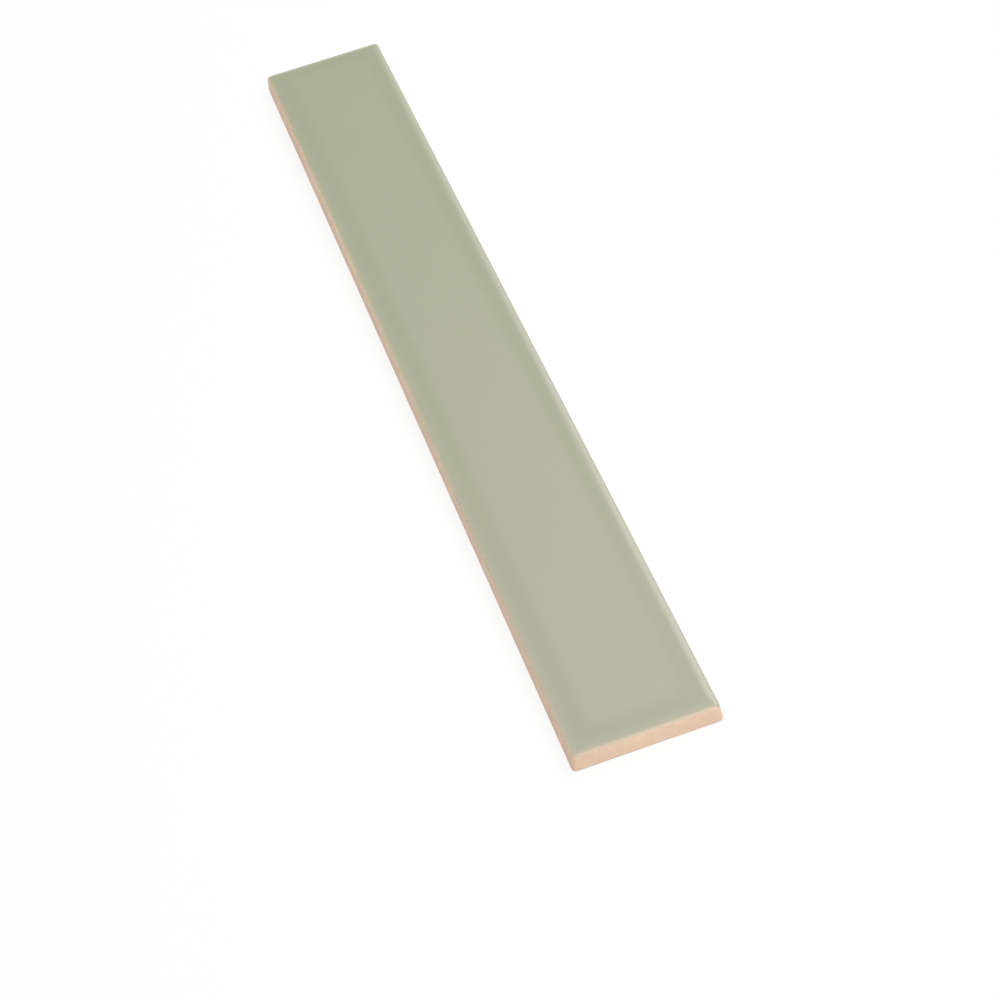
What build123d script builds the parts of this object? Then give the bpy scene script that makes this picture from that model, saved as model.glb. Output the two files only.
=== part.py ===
from build123d import *
import math
import os

# A long narrow wall tile: one slab of clay, pressed in a die, glazed on its face and fired.
# It lies on its back. X runs along the length, Y across the width and Z up through the glazed face.
# The origin is the centre of the back.

# Driving dimensions, in millimetres
tile_length = 400.0  # over all, just above the back, where the slab is longest
tile_width = 50.0  # over all, just above the back, where the slab is widest
tile_thickness = 7.0  # from the back to the glazed face
edge_lean = 0.7  # how far each edge leans inwards on its way up from the back to the face
corner_radius = 1.5  # of the four upright corners
face_edge_radius = 1.0  # of the rounded edge that runs round the glazed face
back_edge_radius = 0.5  # of the worn arris that runs round the back

# The die opens towards the back, so all four edges lean by the same angle.
lean_angle = math.degrees(math.atan2(edge_lean, tile_thickness))

# What rounding the sharp arris of the back takes off each edge, added to the slab beforehand
arris_allowance = back_edge_radius * (1 / math.tan(math.radians(45 - lean_angle / 2)) - 1)

with BuildPart() as tile:
    # The slab, from its back up, narrowing with the lean of the die
    with BuildSketch(Plane.XY):
        Rectangle(tile_length + 2 * arris_allowance, tile_width + 2 * arris_allowance)
    extrude(amount=tile_thickness, taper=lean_angle)

    # The four upright corners, which are the only edges on neither the face nor the back
    face = tile.faces().sort_by(Axis.Z)[-1]
    back = tile.faces().sort_by(Axis.Z)[0]
    fillet(tile.edges() - face.edges() - back.edges(), radius=corner_radius)

    # The rounded edge of the face, over which the glaze thins out, and the arris of the back
    fillet(tile.faces().sort_by(Axis.Z)[-1].edges(), radius=face_edge_radius)
    fillet(tile.faces().sort_by(Axis.Z)[0].edges(), radius=back_edge_radius)

tile.part.label = "tile"

os.makedirs("parts", exist_ok=True)
export_step(tile.part, "parts/tile.step")
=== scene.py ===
import math

import bpy
import numpy as np
from bpy.props import FloatProperty, FloatVectorProperty, PointerProperty
from mathutils import Matrix, Vector, noise


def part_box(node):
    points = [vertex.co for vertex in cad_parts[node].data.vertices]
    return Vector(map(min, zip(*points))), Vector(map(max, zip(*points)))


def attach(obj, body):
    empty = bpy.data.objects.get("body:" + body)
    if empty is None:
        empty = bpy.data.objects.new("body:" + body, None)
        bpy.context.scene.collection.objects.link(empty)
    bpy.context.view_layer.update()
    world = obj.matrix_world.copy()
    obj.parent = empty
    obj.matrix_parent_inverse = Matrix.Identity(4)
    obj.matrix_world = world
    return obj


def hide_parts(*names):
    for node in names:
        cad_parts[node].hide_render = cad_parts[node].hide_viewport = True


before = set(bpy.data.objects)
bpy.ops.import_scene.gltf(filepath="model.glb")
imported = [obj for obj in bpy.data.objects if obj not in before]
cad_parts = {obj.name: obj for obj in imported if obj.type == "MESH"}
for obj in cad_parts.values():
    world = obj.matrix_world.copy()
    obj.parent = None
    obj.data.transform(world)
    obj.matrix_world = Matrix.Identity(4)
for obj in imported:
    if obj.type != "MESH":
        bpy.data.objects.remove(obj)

bl_info = {
    "name": "Subway Tile",
    "version": (1, 0, 0),
    "blender": (4, 5, 0),
    "location": "View3D > Sidebar > Subway Tile",
    "description": "A long narrow wall tile of pressed clay with a glossy sage glaze",
    "category": "Object",
}

MM = 0.001
CAD_LOW, CAD_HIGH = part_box("tile")
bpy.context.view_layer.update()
PAPER_GLOW = 0.85  # share of its own white in the paper as seen, the rest being the light and shadow on it
PAPER_GAP = 0.05 * MM  # keeps the paper clear of the tile's back

# Points that draw each part of the section, and rings of vertices laid over each part of it
SECTION_POINTS = {"back": 50, "arris": 40, "wall": 60, "round": 80, "face": 400}
RINGS = {"back": 7, "arris": 6, "wall": 8, "bare": 14, "round": 13, "face": 36}
RING_GROWTH = 3.6  # the rings on the face lie further apart towards its middle, by e to this power
CORNER_STEPS = 8
BARE_BAND = 1.5 * MM  # clay below the glaze line that has close rings
BEND_BELOW, BEND_ABOVE = 2 * MM, 4 * MM  # reach of the rings that bend with the glaze line


def linear(hex_colour):
    """An sRGB hex colour as linear red, green and blue."""
    channels = [int(hex_colour[i : i + 2], 16) / 255 for i in (1, 3, 5)]
    return tuple(c / 12.92 if c <= 0.04045 else ((c + 0.055) / 1.055) ** 2.4 for c in channels)


def size(name, default, description):
    """A length that a user may change, in metres, shown in the scene's units."""
    return FloatProperty(name=name, description=description, default=default, unit="LENGTH", precision=5)


def colour(name, hex_colour, description):
    """A colour that a user may change."""
    return FloatVectorProperty(
        name=name, description=description, default=linear(hex_colour), subtype="COLOR", min=0, max=1
    )


class TileSizes(bpy.types.PropertyGroup):
    length: size("Length", CAD_HIGH.x - CAD_LOW.x, "Overall length of the tile")
    width: size("Width", CAD_HIGH.y - CAD_LOW.y, "Overall width of the tile")
    thickness: size("Thickness", CAD_HIGH.z - CAD_LOW.z, "From the back to the middle of the face")
    edge_lean: size("Edge lean", 0.7 * MM, "How far each edge leans in between the back and the face")
    corner_radius: size("Corner radius", 1.5 * MM, "Radius of the upright corners")
    face_edge_radius: size("Face edge radius", 1.0 * MM, "Radius of the rounded edge of the face")
    back_edge_radius: size("Back edge radius", 0.5 * MM, "Radius of the worn arris of the back")
    face_fall: size("Face fall", 0.36 * MM, "How far the face falls towards its edges")
    fall_reach: size("Fall reach", 1.5 * MM, "How quickly that fall dies out from the edge")
    glaze_lip: size("Glaze lip", 0.03 * MM, "Height of the glaze's edge above the clay")
    glaze_drop: size("Glaze drop", 1.25 * MM, "How far the glaze runs over the edge of the face")
    glaze_run: FloatVectorProperty(
        name="Glaze run",
        description="How much further it ran over two of the edges, and less far over the other two",
        default=(0.55 * MM, -0.83 * MM),
        size=2,
        subtype="TRANSLATION",
    )
    glaze_wander: size("Glaze wander", 0.2 * MM, "How far the glaze line strays along the edge")
    glaze_swing: size("Glaze swing", 0.8 * MM, "How far it strays in one slow wave over the whole tile")
    thin_reach: size("Thin reach", 0.75 * MM, "How quickly the glaze deepens from its edge")
    pool_place: size("Pool place", 6.0 * MM, "Where the glaze is deepest, measured from its edge")
    pool_reach: size("Pool reach", 3.5 * MM, "Half width of the band where the glaze is deep")
    face_ripple: size("Face ripple", 0.02 * MM, "Height of the slow waves in the glaze")
    clay_ripple: size("Clay ripple", 0.05 * MM, "Depth of the unevenness of the bare edges")
    mesh_step: size("Mesh step", 1.1 * MM, "Spacing of the mesh along the edges")


class TileColours(bpy.types.PropertyGroup):
    glaze: colour("Glaze", "#A1A18E", "The glaze over the face, at its greyer end")
    glaze_drift: colour("Glaze drift", "#F5FBEE", "Tint that takes it to the greener end")
    glaze_pooled: colour("Pooled glaze", "#F5F7F2", "Tint it takes where it is deepest")
    glaze_thin: colour("Thin glaze", "#BAAC95", "The glaze where the clay warms it")
    glaze_edge: colour("Glaze edge", "#D6C3AE", "The last film of glaze, with the clay showing through")
    clay: colour("Clay", "#E6C8AF", "The fired clay of the bare edges and the back")
    clay_pink: colour("Pink clay", "#E4C1AB", "The pinker patches of the clay")
    clay_pale: colour("Pale clay", "#EACFB3", "The paler, yellower patches of the clay")


class TileStage(bpy.types.PropertyGroup):
    target: FloatVectorProperty(
        name="Target",
        description="The point of the face that the camera looks at",
        default=(-84.455 * MM, 10.794 * MM, 7.16 * MM),
        subtype="TRANSLATION",
    )
    distance: size("Camera distance", 824.1 * MM, "From the target to the camera")
    azimuth: FloatProperty(
        name="Azimuth",
        description="Direction of view in plan, turned from the tile's length",
        default=math.radians(-9.193),
        subtype="ANGLE",
    )
    elevation: FloatProperty(
        name="Elevation",
        description="How steeply the camera looks down",
        default=math.radians(44.533),
        subtype="ANGLE",
    )
    roll: FloatProperty(
        name="Roll",
        description="Turn of the camera about its line of sight",
        default=math.radians(-12.053),
        subtype="ANGLE",
    )
    lens: FloatProperty(
        name="Lens", description="Focal length on a sensor 36 mm wide", default=87.58, unit="CAMERA"
    )
    floor_size: size("Floor size", 6.0, "Side of the square floor")
    floor_colour: colour("Floor", "#F4F4F2", "The pale floor")
    fill: FloatProperty(
        name="Fill", description="Brightness of the studio's white walls as they light the tile", default=0.35
    )
    key_light: FloatProperty(
        name="Key light", description="Brightness of the softbox over the near end", default=2.88
    )
    top_light: FloatProperty(
        name="Top light", description="Brightness of the long softbox overhead", default=0.43
    )
    side_light: FloatProperty(
        name="Side light", description="Brightness of the softbox along one side", default=3.5
    )
    card_beside: FloatProperty(
        name="Card beside", description="Brightness of the low white card beside the far end", default=0.65
    )
    card_behind: FloatProperty(
        name="Card behind", description="Brightness of the low white card behind the far end", default=0.75
    )


# The mesh

def section(sizes):
    """The tile's section from the middle of the back, round one edge, to the middle of the face.

    Returns the distance along it, the inset from the widest line, the height, the outward direction
    and the distances at which the arris, the wall, the edge round and the face begin.
    """
    lean = math.atan2(sizes.edge_lean, sizes.thickness)
    worn, edge = sizes.back_edge_radius, sizes.face_edge_radius
    fall_angle = math.atan2(sizes.face_fall, sizes.fall_reach)
    top = sizes.thickness - sizes.glaze_lip - sizes.face_ripple
    middle = sizes.width / 2 - sizes.mesh_step / 2

    # The arris turns from facing down to the lean of the wall, and the edge round from there to the face.
    arris = np.linspace(-math.pi / 2, lean, SECTION_POINTS["arris"])
    arris_inset = worn - worn * np.cos(arris)
    arris_height = worn + worn * np.sin(arris)
    wall_shift = worn * (1 / math.cos(lean) + math.tan(lean) - 1)
    round_height = top - sizes.face_fall - edge * math.cos(fall_angle)
    round_inset = round_height * math.tan(lean) - wall_shift + edge / math.cos(lean)
    turn = np.linspace(lean, math.pi / 2 - fall_angle, SECTION_POINTS["round"])
    turn_inset = round_inset - edge * np.cos(turn)
    turn_height = round_height + edge * np.sin(turn)
    face_inset = np.linspace(turn_inset[-1], middle, SECTION_POINTS["face"])
    climb = 1 - np.exp((turn_inset[-1] - face_inset) / sizes.fall_reach)
    face_height = turn_height[-1] + sizes.face_fall * climb

    back_count, wall_count = SECTION_POINTS["back"], SECTION_POINTS["wall"]
    parts = (
        (np.linspace(middle, worn, back_count), np.zeros(back_count)),
        (arris_inset[1:], arris_height[1:]),
        (
            np.linspace(arris_inset[-1], turn_inset[0], wall_count)[1:],
            np.linspace(arris_height[-1], turn_height[0], wall_count)[1:],
        ),
        (turn_inset[1:], turn_height[1:]),
        (face_inset[1:], face_height[1:]),
    )
    inset = np.concatenate([part[0] for part in parts])
    height = np.concatenate([part[1] for part in parts])
    along = np.concatenate([[0], np.cumsum(np.hypot(np.diff(inset), np.diff(height)))])
    ends = np.cumsum([len(part[0]) for part in parts]) - 1
    tangent = np.stack([np.gradient(inset, along), np.gradient(height, along)])
    tangent /= np.hypot(*tangent)
    out_inset, out_height = -tangent[1], tangent[0]
    starts = dict(zip(("arris", "wall", "round", "face"), along[ends[:4]]))
    return along, inset, height, out_inset, out_height, starts


def columns(sizes):
    """The lines of vertices round the tile, each as a place on a unit square and a direction outwards."""
    quarter = CORNER_STEPS
    long_count = max(8, round(sizes.length / sizes.mesh_step))
    short_count = max(4, round(sizes.width / sizes.mesh_step))
    places, directions = [], []
    corners = ((1, 1), (-1, 1), (-1, -1), (1, -1))
    for i, (corner, after) in enumerate(zip(corners, corners[1:] + corners[:1])):
        for step in range(quarter + 1):
            angle = (i + step / quarter) * math.pi / 2
            places.append(corner)
            directions.append((math.cos(angle), math.sin(angle)))
        count = long_count if corner[0] != after[0] else short_count
        angle = (i + 1) * math.pi / 2
        for step in range(1, count):
            t = step / count
            places.append(tuple(a + (b - a) * t for a, b in zip(corner, after)))
            directions.append((math.cos(angle), math.sin(angle)))
    return np.array(places), np.array(directions), (quarter, long_count, short_count)


def stations(along_end, starts, line, sizes):
    """Distances along the section at which rings of vertices lie, and the place of the glaze line in them."""
    lip = sizes.glaze_lip * np.array([0.0, 0.3, 0.7, 1.2, 2.0, 3.5])
    growth = np.expm1(np.linspace(0, RING_GROWTH, RINGS["face"])) / math.expm1(RING_GROWTH)
    bare = line - BARE_BAND
    below = np.concatenate(
        [
            np.linspace(0, starts["arris"], RINGS["back"])[:-1],
            np.linspace(starts["arris"], starts["wall"], RINGS["arris"])[:-1],
            np.linspace(starts["wall"], bare, RINGS["wall"])[:-1],
            np.linspace(bare, line, RINGS["bare"])[:-1],
        ]
    )
    above = np.concatenate(
        [
            line + lip,
            np.linspace(line + lip[-1], starts["face"], RINGS["round"])[1:],
            starts["face"] + growth[1:] * (along_end - starts["face"]),
        ]
    )
    return np.concatenate([below, above]), len(below)


def waves(points, length, seed):
    """Smooth noise between about -1 and 1 at each point, with waves of about the given length."""
    shift = Vector((seed * 7.3, seed * 3.1, seed * 5.7))
    return np.array([noise.noise(Vector(p) / length + shift) for p in points])


def build_tile_mesh(sizes):
    """The whole tile as one closed mesh, with the depth of its glaze kept at every vertex."""
    along, inset, height, out_inset, out_height, starts = section(sizes)
    places, directions, counts = columns(sizes)

    # The glaze stops part of the way round the edge, lower on some sides, along a line that strays a little.
    line = starts["face"] - sizes.glaze_drop
    ring, first_glazed = stations(along[-1], starts, line, sizes)
    rim = places * np.array([sizes.length, sizes.width]) / 2 + directions * sizes.corner_radius
    rim = np.c_[rim, np.zeros(len(rim))]
    stray = sizes.glaze_wander * (0.7 * waves(rim, 14 * MM, 1) + 0.5 * waves(rim, 4.5 * MM, 2))
    stray += sizes.glaze_swing * waves(rim, 200 * MM, 60)
    stray -= directions @ np.array(sizes.glaze_run) / np.abs(directions).sum(axis=1)
    share = np.interp(ring, [line - BEND_BELOW, line, line + BEND_ABOVE], [0, 1, 0])
    s = ring[:, None] + share[:, None] * stray[None, :]

    def at(values):
        return np.interp(s, along, values)

    # Rings keep a rounded corner that widens towards the middle of the face and of the back.
    d, z = at(inset), at(height)
    half = np.array([sizes.length, sizes.width]) / 2
    spare = half[1] - d
    flat_edge = sizes.edge_lean + sizes.face_edge_radius
    corner = sizes.corner_radius + 0.5 * np.maximum(0, d - flat_edge)
    corner = np.minimum(corner, 0.98 * spare)
    plan = [places[:, i] * (half[i] - d - corner) + corner * directions[:, i] for i in (0, 1)]
    out = [-at(out_inset) * directions[:, i] for i in (0, 1)] + [at(out_height)]
    points = np.stack([*plan, z], axis=-1)
    out = np.stack(out, axis=-1)

    # The coat deepens from nothing at its line, pools behind the edge and evens out over the face.
    coat = np.maximum(0, s - line - stray[None, :])
    depth = 1 - np.exp(-coat / sizes.thin_reach)
    pool = np.exp(-(((coat - sizes.pool_place) / sizes.pool_reach) ** 2))

    # The lip stands proud of the clay, the face has slow waves and the bare edges are slightly uneven.
    flat_points = points.reshape(-1, 3)
    rise = sizes.glaze_lip * (1 - np.exp(-coat / sizes.glaze_lip))
    slow = waves(flat_points, 38 * MM, 3).reshape(s.shape)
    fine = waves(flat_points, 7 * MM, 4).reshape(s.shape)
    rise += sizes.face_ripple * np.clip(0.8 * slow + 0.2 * fine, -1, 1) * depth
    bare = np.interp(ring, [starts["arris"], starts["wall"], line, line + 0.3 * MM], [0, 1, 1, 0])[:, None]
    grit = waves(flat_points, 2.6 * MM, 5).reshape(s.shape)
    swell = waves(flat_points, 22 * MM, 6).reshape(s.shape)
    rise -= sizes.clay_ripple * bare * np.clip(0.5 + 0.35 * swell + 0.3 * grit, 0, 1)
    points = points + out * rise[..., None]

    # Quads between neighbouring rings, and a flat cap over the first and the last ring
    rings, around = s.shape
    here = np.arange(around)
    after = (here + 1) % around
    faces, glazed = [], []
    for k in range(rings - 1):
        low, high = k * around, (k + 1) * around
        faces += np.stack([low + here, low + after, high + after, high + here], axis=1).tolist()
        glazed += [k >= first_glazed] * around
    for base, glaze in ((0, False), ((rings - 1) * around, True)):
        cap = cap_faces(base, counts, around)
        faces += cap if glaze else [face[::-1] for face in cap]
        glazed += [glaze] * len(cap)

    mesh = bpy.data.meshes.new("glazed_tile")
    mesh.from_pydata(points.reshape(-1, 3).tolist(), [], faces)
    for name, values in (("glaze_depth", depth), ("glaze_pool", pool)):
        mesh.attributes.new(name, "FLOAT", "POINT").data.foreach_set("value", values.ravel())
    mesh.polygons.foreach_set("material_index", [0 if glaze else 1 for glaze in glazed])
    mesh.polygons.foreach_set("use_smooth", [True] * len(faces))
    mesh.validate()
    mesh.update()
    return mesh


def cap_faces(base, counts, around):
    """Faces that close a narrow ring: a row of quads between its long sides and one face at each end."""
    quarter, long_count, short_count = counts
    first = quarter
    second = first + long_count + quarter + short_count + quarter
    near = [base + first + i for i in range(long_count + 1)]
    far = [base + (second + long_count - i) % around for i in range(long_count + 1)]
    quads = [[near[i], near[i + 1], far[i + 1], far[i]] for i in range(long_count)]
    left = [base + i for i in range(first + long_count, second + 1)]
    right = [base + i % around for i in range(second + long_count, around + first + 1)]
    return quads + [left, right]


# The finishes

def add_node(tree, kind, inputs=None, **settings):
    """Adds a node. inputs gives each named socket a value or another node's output."""
    made = tree.nodes.new(kind)
    for name, value in settings.items():
        setattr(made, name, value)
    for name, value in (inputs or {}).items():
        if isinstance(value, bpy.types.NodeSocket):
            tree.links.new(value, made.inputs[name])
        else:
            made.inputs[name].default_value = value
    return made


def new_material(name):
    """An empty material with its output node."""
    material = bpy.data.materials.new(name)
    material.use_nodes = True
    material.node_tree.nodes.clear()
    return material, add_node(material.node_tree, "ShaderNodeOutputMaterial")


def colour_stops(ramp, stops):
    """Gives a colour ramp its stops, each a place from 0 to 1 and a colour."""
    elements = ramp.color_ramp.elements
    while len(elements) < len(stops):
        elements.new(1.0)
    for element, (place, value) in zip(elements, stops):
        element.position = place
        element.color = (*value, 1)


def sage_glaze(colours):
    """Glossy earthenware glaze, flooded onto the face and fired.

    It is a coloured glass: deep it is darker and greener, and where it thins over the edge the clay under
    it shows through. Its surface is smooth, with a faint orange peel.
    """
    material, output = new_material("Glossy sage glaze")
    tree = material.node_tree
    place = add_node(tree, "ShaderNodeTexCoord").outputs["Object"]
    depth = add_node(tree, "ShaderNodeAttribute", attribute_name="glaze_depth").outputs["Fac"]
    pool = add_node(tree, "ShaderNodeAttribute", attribute_name="glaze_pool").outputs["Fac"]

    # From its edge in, the coat hides the clay more and more.
    over_edge = add_node(tree, "ShaderNodeValToRGB", {"Fac": depth})
    colour_stops(over_edge, ((0.0, colours.glaze_edge), (0.5, colours.glaze_thin), (1.0, colours.glaze)))

    # Where it pools it is deeper, more so in some patches, about 18 mm across, than in others.
    patches = add_node(
        tree, "ShaderNodeTexNoise", {"Vector": place, "Scale": 1 / (18 * MM), "Detail": 2.0, "Roughness": 0.5}
    )
    uneven = add_node(
        tree,
        "ShaderNodeMapRange",
        {"Value": patches.outputs["Fac"], "From Min": 0.25, "From Max": 0.75, "To Min": 0.7, "To Max": 1.0},
    )
    deep = add_node(
        tree, "ShaderNodeMath", {0: pool, 1: uneven.outputs["Result"]}, operation="MULTIPLY"
    )
    tone = add_node(
        tree,
        "ShaderNodeMix",
        {0: deep.outputs[0], 6: over_edge.outputs["Color"], 7: (*colours.glaze_pooled, 1)},
        data_type="RGBA",
        blend_type="MULTIPLY",
    )

    # The glaze is tinted a little darker and greener towards one end of the tile.
    ends = add_node(
        tree,
        "ShaderNodeMapRange",
        {
            "Value": add_node(tree, "ShaderNodeSeparateXYZ", {0: place}).outputs["X"],
            "From Min": CAD_LOW.x,
            "From Max": CAD_HIGH.x,
        },
    )
    drifted = add_node(
        tree,
        "ShaderNodeMix",
        {0: ends.outputs["Result"], 6: tone.outputs[2], 7: (*colours.glaze_drift, 1)},
        data_type="RGBA",
        blend_type="MULTIPLY",
    )

    # Orange peel, about 3 mm from crest to crest and a few thousandths of a millimetre high
    peel = add_node(tree, "ShaderNodeTexNoise", {"Vector": place, "Scale": 1 / (3 * MM), "Detail": 1.0})
    bump = add_node(
        tree,
        "ShaderNodeBump",
        {"Height": peel.outputs["Fac"], "Strength": 1.0, "Distance": 0.008 * MM},
    )
    gloss = add_node(
        tree,
        "ShaderNodeMapRange",
        {"Value": patches.outputs["Fac"], "From Min": 0.25, "From Max": 0.75, "To Min": 0.16, "To Max": 0.22},
    )
    shader = add_node(
        tree,
        "ShaderNodeBsdfPrincipled",
        {
            "Base Color": drifted.outputs[2],
            "Roughness": gloss.outputs["Result"],
            "IOR": 1.52,
            "Normal": bump.outputs["Normal"],
        },
    )
    tree.links.new(shader.outputs[0], output.inputs["Surface"])
    return material


def bare_clay(colours):
    """Biscuit of a pale earthenware clay, dry pressed from granules and left unglazed.

    It is matt and peach, with soft patches of pinker and yellower clay, the fine grain of the granules
    and a few pores.
    """
    material, output = new_material("Bare peach biscuit")
    tree = material.node_tree
    place = add_node(tree, "ShaderNodeTexCoord").outputs["Object"]

    # Patches of clay that differ a little in colour, about 9 mm across
    patches = add_node(tree, "ShaderNodeTexNoise", {"Vector": place, "Scale": 1 / (9 * MM), "Detail": 3.0})
    tint = add_node(tree, "ShaderNodeValToRGB", {"Fac": patches.outputs["Fac"]})
    colour_stops(tint, ((0.32, colours.clay_pink), (0.5, colours.clay), (0.68, colours.clay_pale)))

    # Granules are about 0.3 mm across, too fine to show, so the grain is drawn at 0.9 mm.
    grain = add_node(tree, "ShaderNodeTexNoise", {"Vector": place, "Scale": 1 / (0.9 * MM), "Detail": 1.0})
    shade = add_node(
        tree,
        "ShaderNodeMapRange",
        {"Value": grain.outputs["Fac"], "From Min": 0.3, "From Max": 0.7, "To Min": 0.97, "To Max": 1.02},
    )
    # Pores about 2.5 mm apart and a quarter of a millimetre wide, darkened with painted shade in their pits
    pores = add_node(tree, "ShaderNodeTexVoronoi", {"Vector": place, "Scale": 1 / (2.5 * MM)})
    pore_shade = add_node(
        tree,
        "ShaderNodeMapRange",
        {
            "Value": pores.outputs["Distance"],
            "From Min": 0.04,
            "From Max": 0.12,
            "To Min": 0.88,
            "To Max": 1.0,
        },
    )
    # Grain tone times the painted shade of the pores; the same value is also the height of the bump.
    grain_tone_and_pore_shade = add_node(
        tree,
        "ShaderNodeMath",
        {0: shade.outputs["Result"], 1: pore_shade.outputs["Result"]},
        operation="MULTIPLY",
    )
    # Painted contact shade darkens the clay over the back and the lowest millimetre of the edges.
    foot_shade = add_node(
        tree,
        "ShaderNodeMapRange",
        {
            "Value": add_node(tree, "ShaderNodeSeparateXYZ", {0: place}).outputs["Z"],
            "From Min": 0.0,
            "From Max": 1.0 * MM,
            "To Min": 0.86,
            "To Max": 1.0,
        },
    )
    with_foot_shade = add_node(
        tree, "ShaderNodeMath", {0: grain_tone_and_pore_shade.outputs[0], 1: foot_shade.outputs["Result"]}, operation="MULTIPLY"
    )
    shaded = add_node(
        tree,
        "ShaderNodeMix",
        {0: 1.0, 6: tint.outputs["Color"], 7: with_foot_shade.outputs[0]},
        data_type="RGBA",
        blend_type="MULTIPLY",
    )
    bump = add_node(
        tree, "ShaderNodeBump", {"Height": grain_tone_and_pore_shade.outputs[0], "Strength": 1.0, "Distance": 0.25 * MM}
    )
    rough = add_node(
        tree, "ShaderNodeMapRange", {"Value": grain.outputs["Fac"], "To Min": 0.55, "To Max": 0.7}
    )
    shader = add_node(
        tree,
        "ShaderNodeBsdfPrincipled",
        {
            "Base Color": shaded.outputs[2],
            "Roughness": rough.outputs["Result"],
            "IOR": 1.5,
            "Normal": bump.outputs["Normal"],
        },
    )
    tree.links.new(shader.outputs[0], output.inputs["Surface"])
    return material


def studio_paper(floor_colour):
    """Seamless white background paper: matt, and white to the eye but for the tile's soft shadow."""
    material, output = new_material("White background paper")
    tree = material.node_tree
    paper = add_node(tree, "ShaderNodeBsdfDiffuse", {"Color": (*floor_colour, 1)})
    white = add_node(tree, "ShaderNodeEmission", {"Color": (1, 1, 1, 1), "Strength": 1.0})
    share = add_node(tree, "ShaderNodeMath", {0: seen_directly(tree), 1: PAPER_GLOW}, operation="MULTIPLY")
    mixed = add_node(
        tree,
        "ShaderNodeMixShader",
        {0: share.outputs[0], 1: paper.outputs[0], 2: white.outputs[0]},
    )
    tree.links.new(mixed.outputs[0], output.inputs["Surface"])
    return material


def seen_directly(tree):
    """1 where the camera, a reflection or glass shows the surface, and 0 where it only gives light."""
    path = add_node(tree, "ShaderNodeLightPath").outputs
    either = add_node(
        tree, "ShaderNodeMath", {0: path["Is Camera Ray"], 1: path["Is Glossy Ray"]}, operation="MAXIMUM"
    )
    return add_node(
        tree, "ShaderNodeMath", {0: either.outputs[0], 1: path["Is Transmission Ray"]}, operation="MAXIMUM"
    ).outputs[0]


# The stage

def make_floor(stage):
    """A wide sheet of paper, just clear of the tile's back."""
    half = stage.floor_size / 2
    corners = [(x * half, y * half, -PAPER_GAP) for x, y in ((-1, -1), (1, -1), (1, 1), (-1, 1))]
    mesh = bpy.data.meshes.new("studio_floor")
    mesh.from_pydata(corners, [], [(0, 1, 2, 3)])
    mesh.materials.append(studio_paper(stage.floor_colour))
    floor = bpy.data.objects.new("studio_floor", mesh)
    bpy.context.scene.collection.objects.link(floor)


def make_softbox(name, brightness, width, depth, position, turn, fade=0.0):
    """A softbox or a lit card that faces down before it is turned about the three axes, in degrees.

    Its front has the given brightness, which may fade out over the last part of its width.
    """
    light = bpy.data.lights.new(name, "AREA")
    light.shape = "RECTANGLE"
    light.size, light.size_y = width, depth
    light.energy = brightness * math.pi * width * depth
    if fade:
        light.use_nodes = True
        tree = light.node_tree
        tree.nodes.clear()
        across = add_node(
            tree, "ShaderNodeSeparateXYZ", {0: add_node(tree, "ShaderNodeTexCoord").outputs["UV"]}
        )
        share = add_node(
            tree,
            "ShaderNodeMapRange",
            {
                "Value": across.outputs["X"],
                "From Min": 1 - fade,
                "From Max": 1.0,
                "To Min": 1.0,
                "To Max": 0.0,
            },
        )
        glow = add_node(tree, "ShaderNodeEmission", {"Strength": share.outputs["Result"]})
        add_node(tree, "ShaderNodeOutputLight", {"Surface": glow.outputs[0]})
    lamp = bpy.data.objects.new(name, light)
    lamp.location = position
    lamp.rotation_euler = [math.radians(angle) for angle in turn]
    bpy.context.scene.collection.objects.link(lamp)


def make_world(fill):
    """White studio walls: white to the eye, and dimmer as a light."""
    world = bpy.data.worlds.new("White studio")
    world.use_nodes = True
    tree = world.node_tree
    tree.nodes.clear()
    lighting = add_node(tree, "ShaderNodeBackground", {"Color": (1, 1, 1, 1), "Strength": fill})
    white = add_node(tree, "ShaderNodeBackground", {"Color": (1, 1, 1, 1), "Strength": 1.0})
    mixed = add_node(
        tree, "ShaderNodeMixShader", {0: seen_directly(tree), 1: lighting.outputs[0], 2: white.outputs[0]}
    )
    add_node(tree, "ShaderNodeOutputWorld", {"Surface": mixed.outputs[0]})
    bpy.context.scene.world = world


def make_camera(stage):
    """A camera that looks down the length of the tile from over its near end."""
    data = bpy.data.cameras.new("camera")
    data.sensor_width = 36.0
    data.lens = stage.lens
    data.clip_start = 0.01
    ahead = Vector(
        (
            math.cos(stage.azimuth) * math.cos(stage.elevation),
            math.sin(stage.azimuth) * math.cos(stage.elevation),
            -math.sin(stage.elevation),
        )
    )
    turn = ahead.to_track_quat("-Z", "Y").to_matrix() @ Matrix.Rotation(stage.roll, 3, "Z")
    camera = bpy.data.objects.new("camera", data)
    camera.location = Vector(stage.target) - stage.distance * ahead
    camera.rotation_euler = turn.to_euler()
    bpy.context.scene.collection.objects.link(camera)
    bpy.context.scene.camera = camera


# The operators

class SUBWAYTILE_OT_make_tile(bpy.types.Operator):
    """Builds the glazed tile over its solid"""

    bl_idname = "subway_tile.make_tile"
    bl_label = "Make the tile"

    def execute(self, context):
        mesh = build_tile_mesh(context.scene.tile_sizes)
        mesh.materials.append(sage_glaze(context.scene.tile_colours))
        mesh.materials.append(bare_clay(context.scene.tile_colours))
        tile = bpy.data.objects.new("glazed_tile", mesh)
        context.scene.collection.objects.link(tile)
        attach(tile, "root")
        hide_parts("tile")
        return {"FINISHED"}


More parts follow.
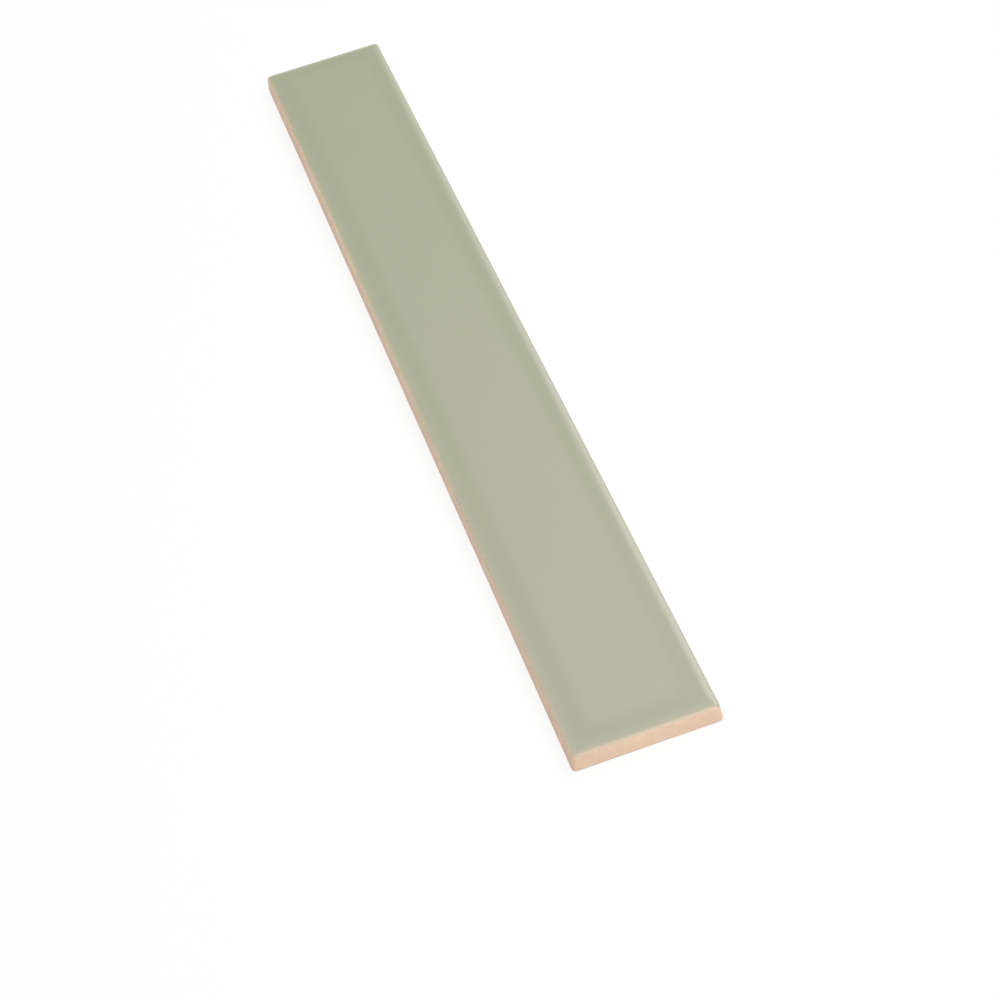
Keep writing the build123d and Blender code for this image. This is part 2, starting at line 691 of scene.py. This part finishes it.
class SUBWAYTILE_OT_make_stage(bpy.types.Operator):
    """Sets out the paper, the soft light and the camera"""

    bl_idname = "subway_tile.make_stage"
    bl_label = "Make the stage"

    def execute(self, context):
        stage = context.scene.tile_stage
        make_floor(stage)
        # Widths, depths and places are in metres. The cards are low and only lift the tone of two edges.
        make_softbox("softbox_key", stage.key_light, 0.75, 0.75, (-0.45, -0.25, 0.7), (20, -25, 0))
        make_softbox("softbox_top", stage.top_light, 2.2, 1.2, (0.6, 0.0, 1.0), (0, 0, 0), fade=0.55)
        make_softbox("softbox_side", stage.side_light, 1.9, 0.6, (1.15, -0.6, 0.74), (53, 0, 0), fade=1.0)
        make_softbox("card_beside", stage.card_beside, 0.6, 0.2, (0.5, 0.5, 0.12), (-90, 0, 0))
        make_softbox("card_behind", stage.card_behind, 0.3, 0.8, (1.2, -0.12, 0.2), (0, 90, 0))
        make_world(stage.fill)
        make_camera(stage)
        context.scene.view_settings.view_transform = "Standard"
        return {"FINISHED"}


class SUBWAYTILE_PT_panel(bpy.types.Panel):
    """Sizes, colours and steps of the tile"""

    bl_idname = "SUBWAYTILE_PT_panel"
    bl_label = "Subway Tile"
    bl_space_type = "VIEW_3D"
    bl_region_type = "UI"
    bl_category = "Subway Tile"

    def draw(self, context):
        for group in (context.scene.tile_sizes, context.scene.tile_colours, context.scene.tile_stage):
            box = self.layout.box()
            for name in group.__annotations__:
                box.prop(group, name)
        for operator in (SUBWAYTILE_OT_make_tile, SUBWAYTILE_OT_make_stage):
            self.layout.operator(operator.bl_idname)


GROUPS = {"tile_sizes": TileSizes, "tile_colours": TileColours, "tile_stage": TileStage}
CLASSES = (*GROUPS.values(), SUBWAYTILE_OT_make_tile, SUBWAYTILE_OT_make_stage, SUBWAYTILE_PT_panel)


def register():
    for cls in CLASSES:
        bpy.utils.register_class(cls)
    for name, group in GROUPS.items():
        setattr(bpy.types.Scene, name, PointerProperty(type=group))


def unregister():
    for name in GROUPS:
        delattr(bpy.types.Scene, name)
    for cls in reversed(CLASSES):
        bpy.utils.unregister_class(cls)


def main():
    register()
    bpy.ops.subway_tile.make_tile()
    bpy.ops.subway_tile.make_stage()


if __name__ == "__main__":
    main()
